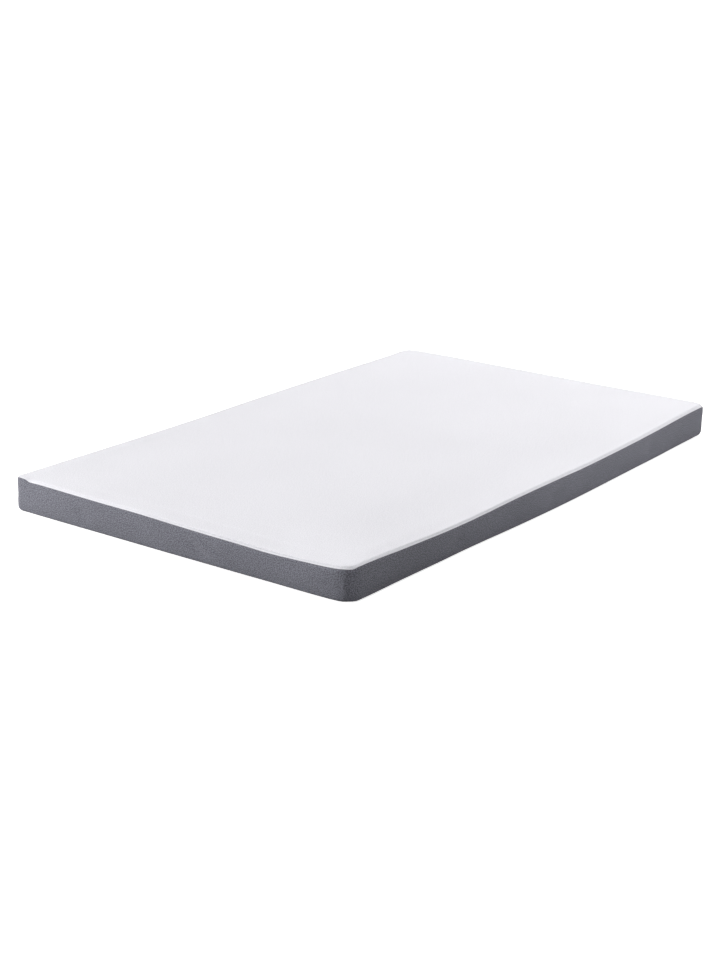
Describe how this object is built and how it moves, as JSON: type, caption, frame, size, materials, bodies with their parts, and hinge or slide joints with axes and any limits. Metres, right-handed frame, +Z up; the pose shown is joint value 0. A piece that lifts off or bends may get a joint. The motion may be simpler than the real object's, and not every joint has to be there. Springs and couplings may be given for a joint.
{
  "type": "mattress",
  "caption": "Thin foam mattress with a white knit top panel, a grey border and a plain wavy seam between them.",
  "frame": {"origin": "on the floor, under the middle of the mattress's footprint", "axes": "+Z up, +Y along the mattress, +X across it"},
  "size_m": [1.2166, 1.9094, 0.1035],
  "materials": {
    "grey_border_cloth": "mid-grey, slightly heathered close knit, matt",
    "white_top_knit": "fine white jersey knit, soft and matt, with a faint cool cast",
    "grey_base_cloth": "plain grey close weave, matt"
  },
  "bodies": {
    "root": {"border_body": "grey_border_cloth", "top_panel": "white_top_knit", "bottom_panel": "grey_base_cloth"}
  },
  "joints": []
}
